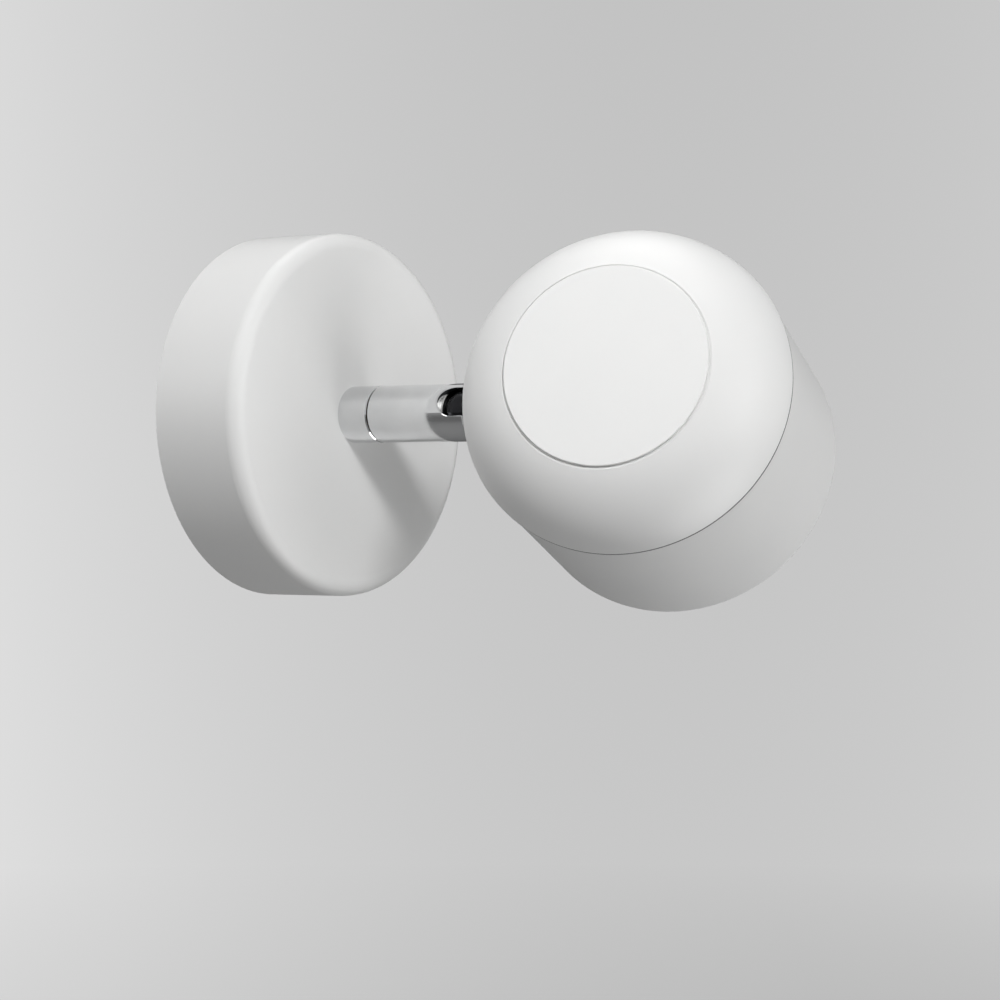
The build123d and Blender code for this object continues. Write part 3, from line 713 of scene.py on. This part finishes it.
def chipMesh():
    half, rise = chipSet["half"], chipSet["rise"]
    chip = bmesh.new()
    bmesh.ops.create_cube(chip, size=1.0)
    bmesh.ops.scale(chip, vec=(2 * half, 2 * half, rise), verts=chip.verts)
    upright = [edge for edge in chip.edges if edge.verts[0].co.z != edge.verts[1].co.z]
    bmesh.ops.bevel(chip, geom=upright, offset=half * chipSet["round"], segments=chipSet["roundSteps"],
                    affect="EDGES")
    height = boardSet["front"] - rise / 2 - chipSet["sunk"]
    bmesh.ops.translate(chip, vec=(0, 0, height), verts=chip.verts)
    mesh = bpy.data.meshes.new("chipMesh")
    chip.to_mesh(mesh)
    chip.free()
    return mesh


def makeBoard():
    wide, front, edge, steps = boardSet["radius"], boardSet["front"], boardSet["edge"], boardSet["steps"]
    outline = [(wide, boardSet["back"]), (wide, front + edge), (wide - edge, front)]
    corners = []
    for radius, height in outline:
        corners += ringOf(radius, height, steps)
    board = bodyMesh("boardMesh", corners, bandsOf(len(outline), steps) + endsOf(len(outline), steps))
    board.transform(headPlace)
    addPiece("ledBoard", board, coated(solderMask), "head")
    around = [Vector(spot) * chipSet["ringRadius"] for spot in ringOf(1.0, 0.0, chipSet["ringCount"])]
    places = [headPlace @ Matrix.Translation(spot) for spot in [Vector()] + around]
    addPiece("ledChips", atPlaces("chipsMesh", chipMesh(), places), coated(phosphor), "head")
    print("board made, with chips:", len(places))


# A thin skirt under the vent cap's rim, and a dark grey ring on the seam between the dome and the barrel: a
# painted shadow line where the seam has only shade

skirtSet = {"inner": 0.0259, "outer": 0.0267, "low": 0.0183, "high": 0.01862, "round": 0.00008,
            "steps": 180}
# painted shade: a dark grey ring standing on the seam, drawn as the seam's shadow line
seamShadowSet = {"inner": 0.0416, "outer": 0.04298, "low": -0.00055, "high": 0.0001, "round": 0.00006,
           "steps": 240}
seamShadowGrey = {"name": "seamShadowGrey", "colour": (0.17, 0.17, 0.168), "shade": (0.13, 0.13, 0.128),
              "cloud": 0.003, "rough": (0.6, 0.75), "skin": 0.0005, "skinDepth": 1e-5, "tooth": 0.0001,
              "toothDepth": 3e-6}


def makeHoop(name, hoop, finish):
    # a flat ring about the head's line, with its four edges taken off
    inner, outer = hoop["inner"], hoop["outer"]
    low, high, soft = hoop["low"], hoop["high"], hoop["round"]
    loop = [(inner, low + soft), (inner + soft, low), (outer - soft, low), (outer, low + soft),
            (outer, high - soft), (outer - soft, high), (inner + soft, high), (inner, high - soft)]
    corners = []
    for radius, height in loop:
        corners += ringOf(radius, height, hoop["steps"])
    mesh = bodyMesh(name + "Mesh", corners, bandsOf(len(loop), hoop["steps"], closed=True))
    mesh.transform(headPlace)
    addPiece(name, mesh, finish, "head")
    print(name, "made")


makeScrews()
makeLens()
makeBoard()
makeHoop("capSkirt", skirtSet, finishOf("white_paint", "head"))
# the dark ring that paints the seam's shadow line
makeHoop("seamShadowRing", seamShadowSet, coated(seamShadowGrey))


# Stage: what the eye sees of the floor glows a little, so that the floor looks as pale as the backdrop

white = (1, 1, 1, 1)
floorSet = {"height": -0.8, "reach": 7.0, "fadeFrom": 2.0, "fadeTo": 6.0, "rough": 0.9, "seenColour": 0.4,
            "bounceColour": 0.3, "seenGlow": 0.46, "sideGlow": -0.14, "sideLimit": 0.08, "mirrorGlow": 0.1}


def seenStraight(tree):
    # 1 for what the eye sees straight or through glass
    path = put(tree, "LightPath").outputs
    return reckon(tree, "MAXIMUM", path["Is Camera Ray"], path["Is Transmission Ray"])


def seenMirrored(tree):
    # 1 for what shows in a shiny surface
    return put(tree, "LightPath").outputs["Is Glossy Ray"]


def makeFloor():
    mesh = bpy.data.meshes.new("floor")
    half = floorSet["reach"]
    height = floorSet["height"]
    corners = [(-half, -half, height), (half, -half, height), (half, half, height), (-half, half, height)]
    mesh.from_pydata(corners, [], [(0, 1, 2, 3)])
    floor = bpy.data.objects.new("floor", mesh)
    bpy.context.scene.collection.objects.link(floor)
    finish, tree, shader, place = newFinish("paleFloor")
    shader.inputs["Roughness"].default_value = floorSet["rough"]
    shader.inputs["Specular IOR Level"].default_value = 0.0
    shader.inputs["Emission Color"].default_value = white
    eye = seenStraight(tree)
    across = reckon(tree, "MULTIPLY", along(tree, place, pictureRight), floorSet["sideGlow"])
    glow, limit = floorSet["seenGlow"], floorSet["sideLimit"]
    bright = spread(tree, across, glow - limit, glow + limit, -limit, limit)
    straight = reckon(tree, "MULTIPLY", eye, bright)
    mirrored = reckon(tree, "MULTIPLY", seenMirrored(tree), floorSet["mirrorGlow"])
    reach = put(tree, "VectorMath", {0: place}, operation="LENGTH").outputs["Value"]
    wear(tree, shader, **{
        "Base Color": tint(tree, eye, [floorSet["bounceColour"]] * 3, [floorSet["seenColour"]] * 3),
        "Emission Strength": reckon(tree, "ADD", straight, mirrored),
        "Alpha": spread(tree, reach, 1.0, 0.0, floorSet["fadeFrom"], floorSet["fadeTo"]),
    })
    mesh.materials.append(finish)
    print("floor made")


# World: bounced light comes from a plain room, and the eye sees a backdrop that falls off a little.
# Shiny surfaces see that backdrop too, but darker below the horizon, and darker in a patch that lies
# straight behind the light in the photograph's view. Both stay in their place in every other view.

roomLight = {"above": 0.042, "below": 0.176}
backdrop = {"tone": 0.574, "sideFall": 0.389, "riseFall": 0.124, "edgeRise": 3.4, "end": 0.16}
mirrorSet = {"floorTone": 0.24, "horizon": 0.05, "patchLine": (0.806, 0.591, 0.0), "patchFrom": 0.87,
             "patchTo": 0.93, "patchTone": 0.03}


def backdropTone(tree, rise, side):
    # the eye's tone: it falls off to the right and upwards, and rises again at both edges
    end = backdrop["end"]
    side = spread(tree, side, -end, end, -end, end)
    fall = reckon(tree, "MULTIPLY", side, -backdrop["sideFall"])
    edge = reckon(tree, "MULTIPLY", reckon(tree, "MULTIPLY", side, side), backdrop["edgeRise"])
    sink = spread(tree, rise, end * backdrop["riseFall"], -end * backdrop["riseFall"], -end, end)
    return reckon(tree, "ADD", reckon(tree, "ADD", fall, edge), reckon(tree, "ADD", sink, backdrop["tone"]))


def mirrorTone(tree, looking, rise, tone):
    # the tone that shiny surfaces see
    above = spread(tree, rise, 0.0, 1.0, -mirrorSet["horizon"], 0.0)
    toned = between(tree, above, mirrorSet["floorTone"], tone)
    patch = along(tree, looking, Vector(mirrorSet["patchLine"]))
    patch = spread(tree, patch, 0.0, 1.0, mirrorSet["patchFrom"], mirrorSet["patchTo"])
    return between(tree, patch, toned, mirrorSet["patchTone"])


def makeWorld():
    world = bpy.data.worlds.new("paleRoom")
    bpy.context.scene.world = world
    world.use_nodes = True
    tree = world.node_tree
    tree.nodes.clear()
    looking = put(tree, "TexCoord").outputs["Generated"]
    rise = along(tree, looking, upward)
    room = spread(tree, rise, roomLight["below"], roomLight["above"], -1, 1)
    ambient = put(tree, "Background", {"Color": white, "Strength": room})
    tone = backdropTone(tree, rise, along(tree, looking, pictureRight))
    mirrored = seenMirrored(tree)
    shown = between(tree, mirrored, tone, mirrorTone(tree, looking, rise, tone))
    seen = put(tree, "Background", {"Color": white, "Strength": shown})
    eye = reckon(tree, "MAXIMUM", seenStraight(tree), mirrored)
    mix = put(tree, "MixShader", {0: eye, 1: ambient.outputs[0], 2: seen.outputs[0]})
    put(tree, "OutputWorld", {"Surface": mix.outputs[0]})
    print("world made")


# Lamps: soft discs, each so far out that way from its target. Two don't show in shiny surfaces.

lightMiddle = (0, -0.07, 0)
lampSet = {
    "keyLight": {"way": (-0.76, -1.0, 0.79), "far": 1.5, "size": 0.25, "power": 9.3, "mirrored": False},
    "headLight": {"way": (-0.8, -0.2, 0.8), "far": 0.3, "size": 0.2, "power": 0.222,
                  "target": (-0.01, -0.13, 0)},
    "topLight": {"way": (0.2, 0.2, 1.0), "far": 1.3, "size": 0.8, "power": 3.7},
    "frontLight": {"way": (-0.1, -1.0, 0.2), "far": 1.3, "size": 0.8, "power": 4.56},
    "leftLight": {"way": (-0.8, 0.6, 0.3), "far": 1.3, "size": 0.6, "power": 5.1, "mirrored": False},
    "lowLight": {"way": (0.3, -0.8, -1.0), "far": 0.75, "size": 0.6, "power": 2.1},
}


def softLight(name, way, far, size, power, mirrored=True, target=lightMiddle):
    data = bpy.data.lights.new(name, "AREA")
    data.shape = "DISK"
    data.size = size
    data.energy = power
    lamp = bpy.data.objects.new(name, data)
    away = Vector(way).normalized()
    lamp.location = Vector(target) + away * far
    lamp.rotation_mode = "QUATERNION"
    lamp.rotation_quaternion = away.to_track_quat("Z", "Y")
    lamp.visible_camera = False
    lamp.visible_glossy = mirrored
    bpy.context.scene.collection.objects.link(lamp)


makeFloor()
makeWorld()
for name, lamp in lampSet.items():
    softLight(name, **lamp)
bpy.context.scene.view_settings.view_transform = "Standard"
print("lamps made:", len(lampSet))
